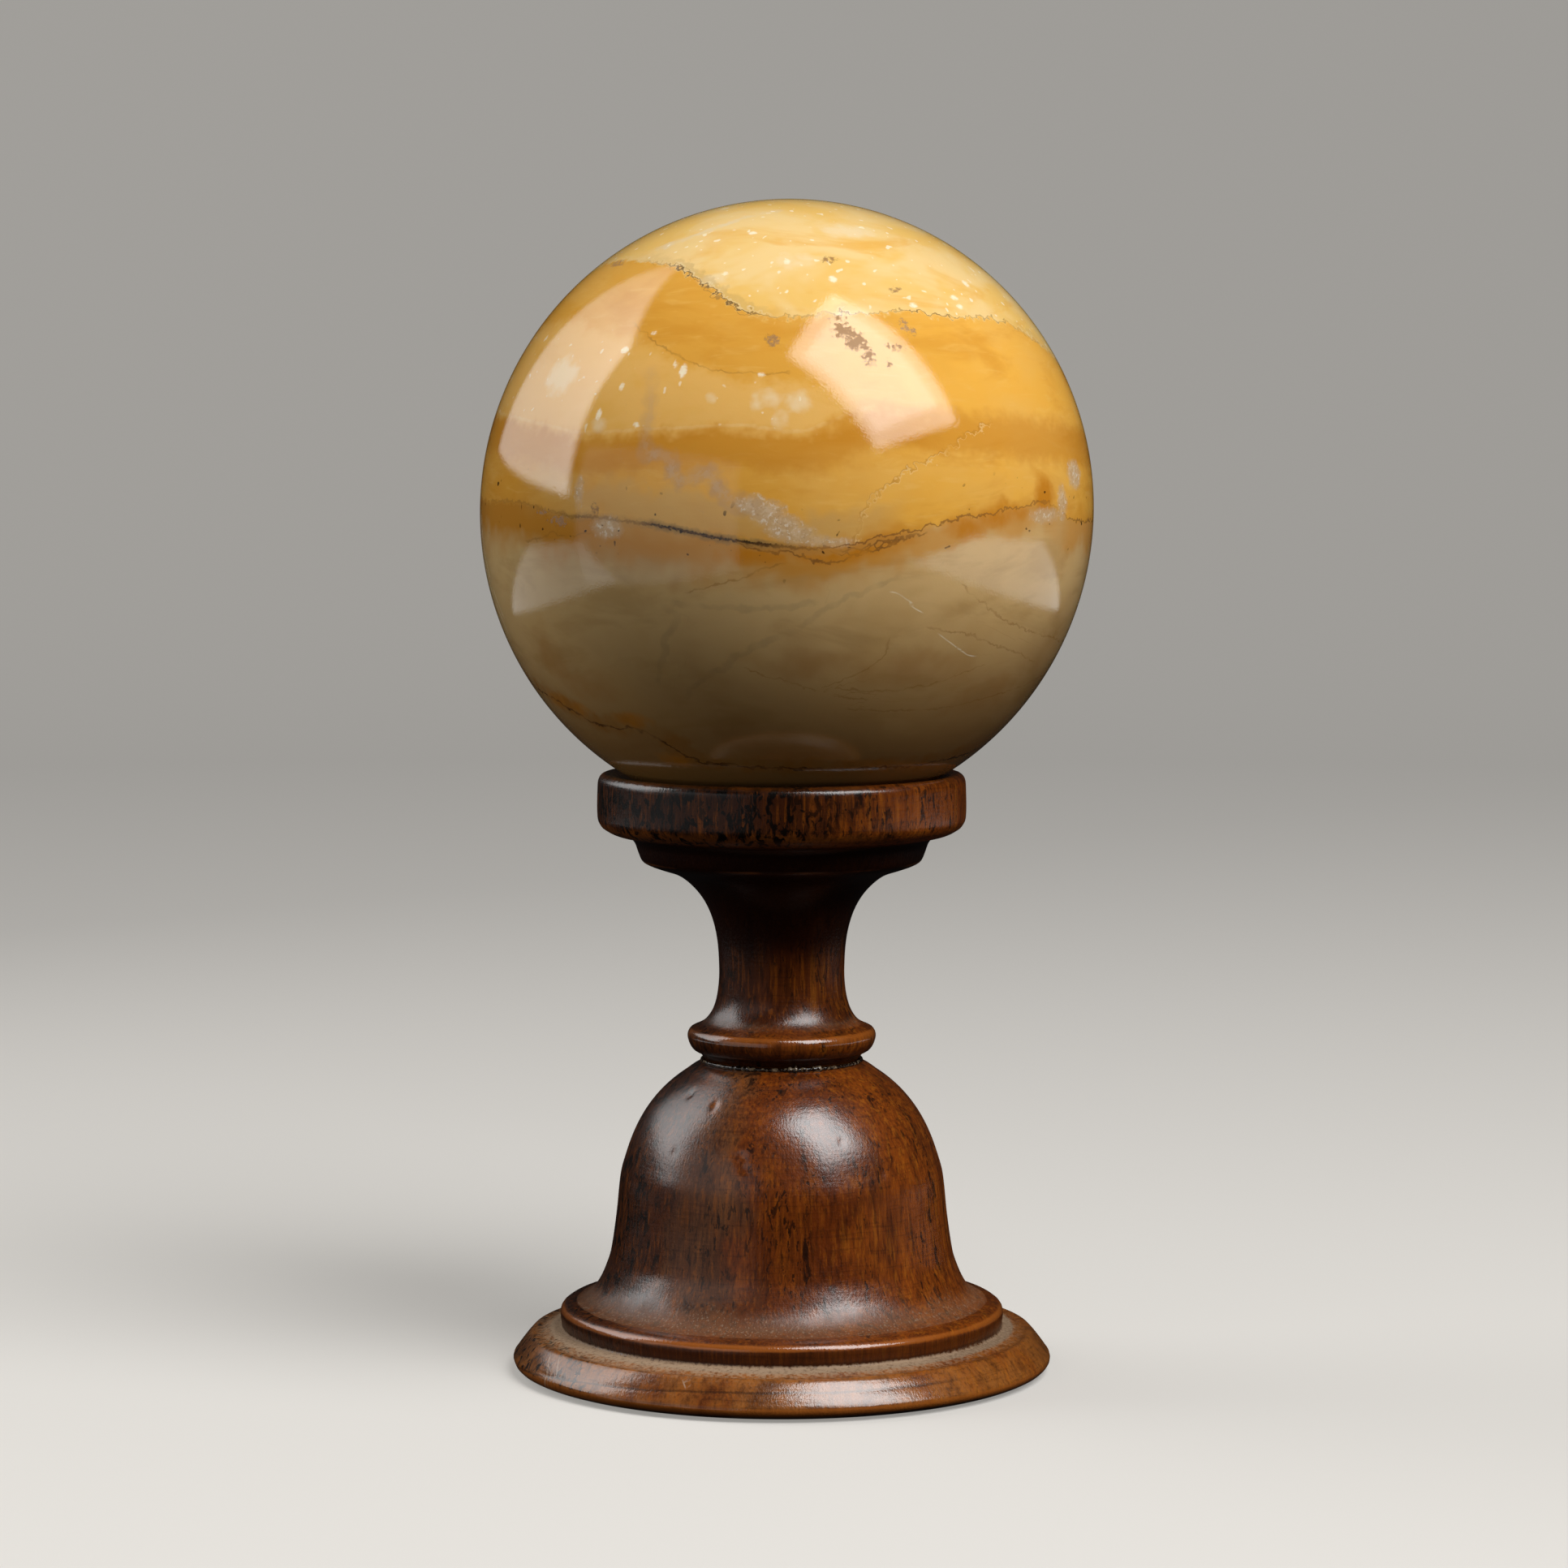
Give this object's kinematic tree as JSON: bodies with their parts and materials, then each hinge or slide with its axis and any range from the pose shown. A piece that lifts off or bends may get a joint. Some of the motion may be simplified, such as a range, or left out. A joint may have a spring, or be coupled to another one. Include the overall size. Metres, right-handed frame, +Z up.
{
  "type": "decorative sphere on a stand",
  "caption": "Polished banded marble ball that rests in the shallow cup of a turned, waxed hardwood stand with a waisted stem and a bell foot.",
  "frame": {"origin": "centre of the stand's flat underside", "axes": "+Z up along the stand's turning axis, -Y towards the side that shows in front, +X to its right"},
  "size_m": [0.1298, 0.1296, 0.2491],
  "materials": {
    "marble": "polished golden-yellow marble with dark veins",
    "upper_wood": "stained and waxed, worn through on the edges",
    "foot_wood": "stained and waxed, dusty in the grooves"
  },
  "bodies": {
    "root": {"marble_ball": "marble", "cup_and_stem": "upper_wood", "bell_foot": "foot_wood"}
  },
  "joints": []
}
